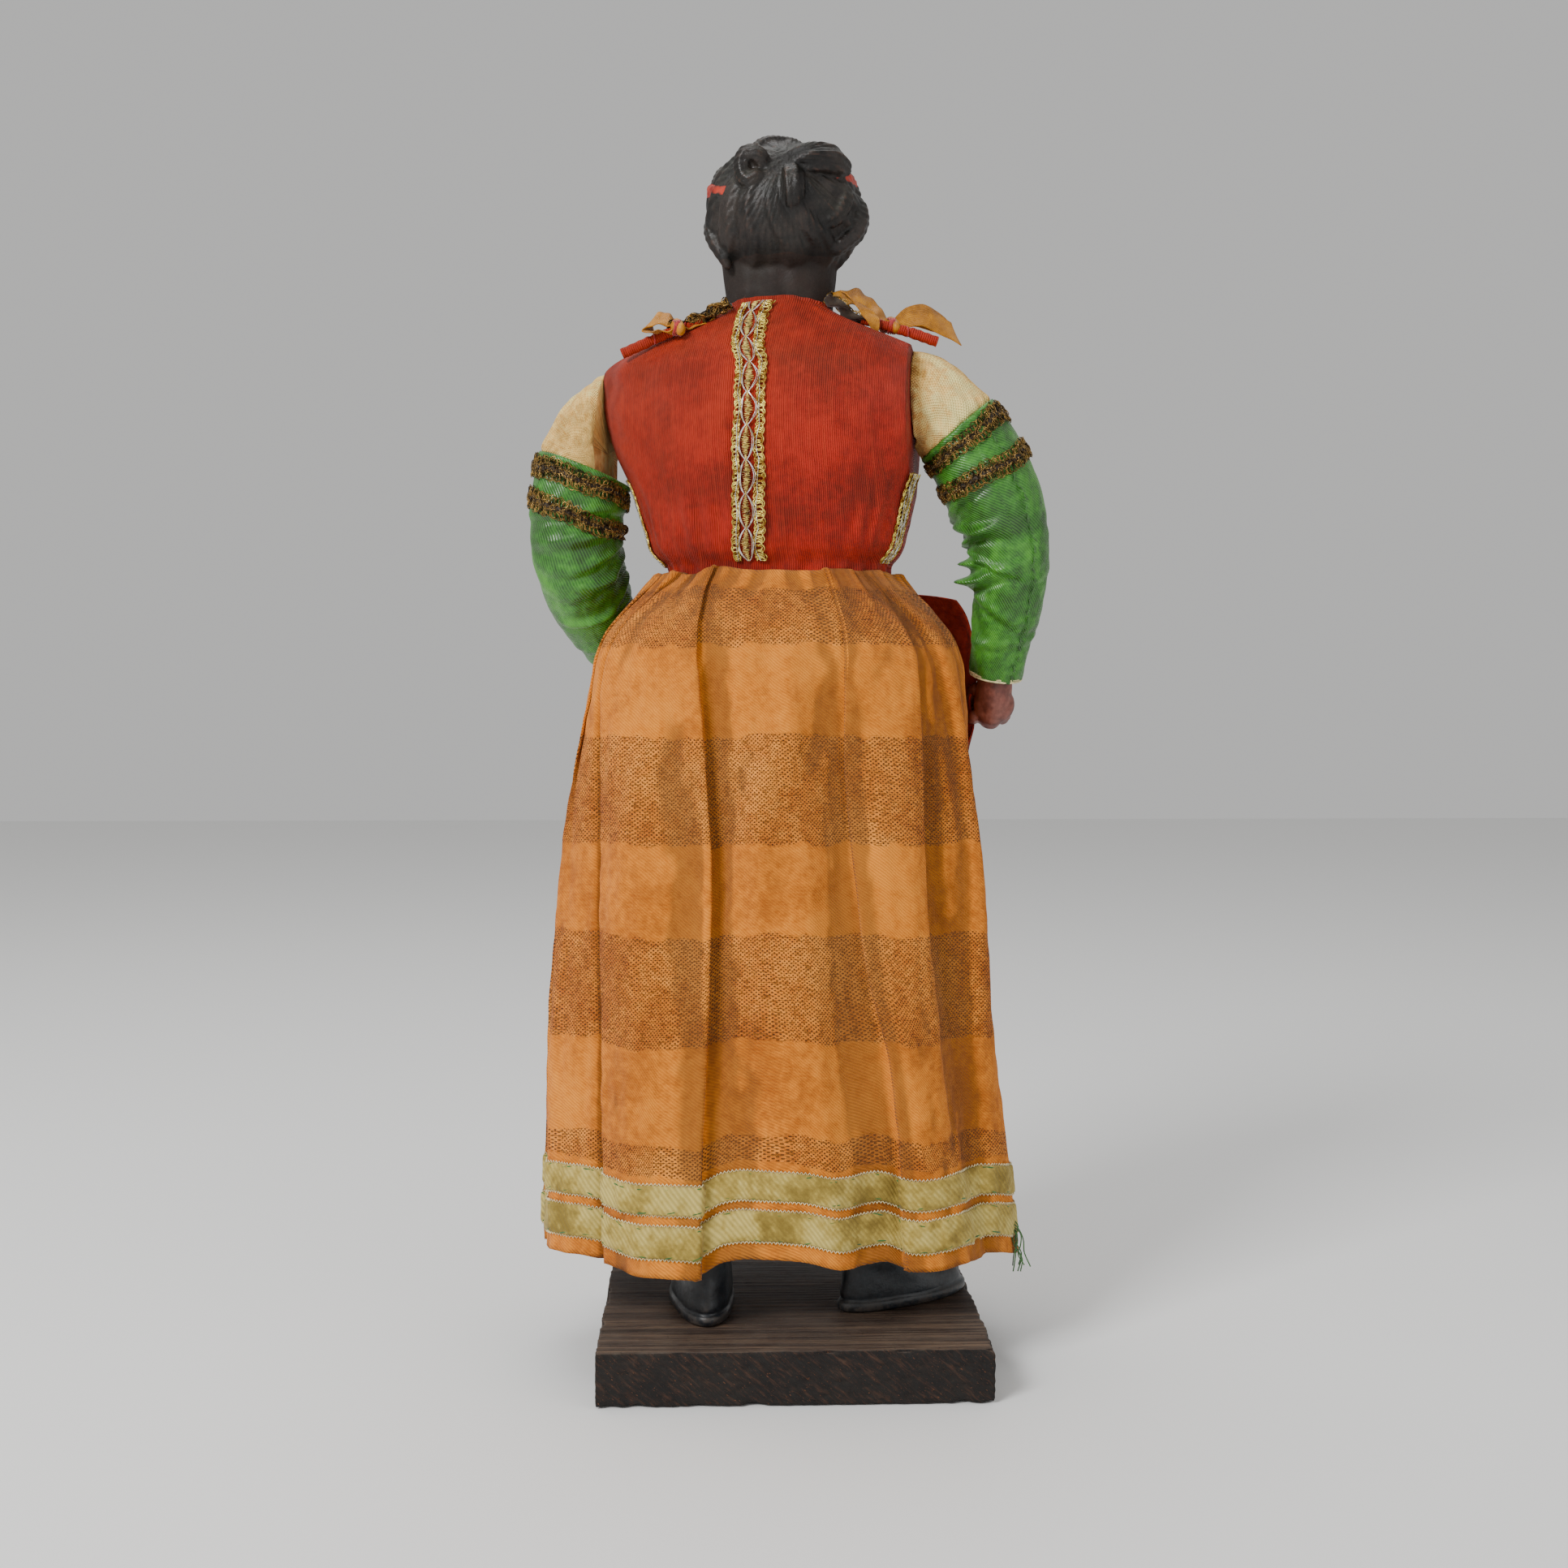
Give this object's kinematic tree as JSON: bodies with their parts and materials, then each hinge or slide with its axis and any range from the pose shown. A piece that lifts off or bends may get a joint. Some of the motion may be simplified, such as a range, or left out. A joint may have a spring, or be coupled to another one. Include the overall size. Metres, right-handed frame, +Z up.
{
  "type": "nativity figure",
  "caption": "Standing woman dressed in real cloth, with modelled head, hands and shod legs, one hand on her hip, on a wooden block that carries her.",
  "frame": {"origin": "middle of the wooden block's underside", "axes": "+Z up, the figure faces -Y, her left hand is towards +X"},
  "size_m": [0.1649, 0.1229, 0.3784],
  "materials": {
    "old_wood": "old dusty block of wood, planed top, rough sawn edges",
    "hair_paint": "terracotta with worn black-brown paint on the hair and painted skin on face and neck",
    "skin_paint": "terracotta with darkened painted skin",
    "shoe_paint": "terracotta with chipped blue-black painted shoes",
    "red_silk": "faded brick-red ribbed silk",
    "mustard_cotton": "mustard cotton with openwork bands, dusty",
    "red_linen": "red-orange linen",
    "cream_linen": "unbleached plain-weave linen",
    "green_satin": "glossy green satin",
    "green_ribbon": "greenish-beige twill ribbon with cream looped edges",
    "yellow_ribbon": "golden yellow ribbed ribbon",
    "gold_lace": "bright gilt wire lace with a pale yellow thread",
    "tarnished_lace": "tarnished gilt wire lace"
  },
  "bodies": {
    "root": {"plinth": "old_wood", "head": "hair_paint", "left_hand": "skin_paint", "right_hand": "skin_paint", "left_leg": "shoe_paint", "right_leg": "shoe_paint", "bodice": "red_silk", "skirt": "mustard_cotton", "apron": "red_linen", "left_chemise_sleeve": "cream_linen", "right_chemise_sleeve": "cream_linen", "left_sleeve": "green_satin", "right_sleeve": "green_satin", "left_upper_sleeve_braid": "tarnished_lace", "left_lower_sleeve_braid": "tarnished_lace", "right_upper_sleeve_braid": "tarnished_lace", "right_lower_sleeve_braid": "tarnished_lace", "upper_hem_ribbon": "green_ribbon", "lower_hem_ribbon": "green_ribbon", "back_braid": "gold_lace", "left_side_braid": "gold_lace", "right_side_braid": "gold_lace", "front_braid": "gold_lace", "left_shoulder_roll": "red_silk", "right_shoulder_roll": "red_silk", "left_neck_lace": "tarnished_lace", "right_neck_lace": "tarnished_lace", "left_ribbon_bow": "yellow_ribbon", "right_ribbon_bow": "yellow_ribbon"}
  },
  "joints": []
}
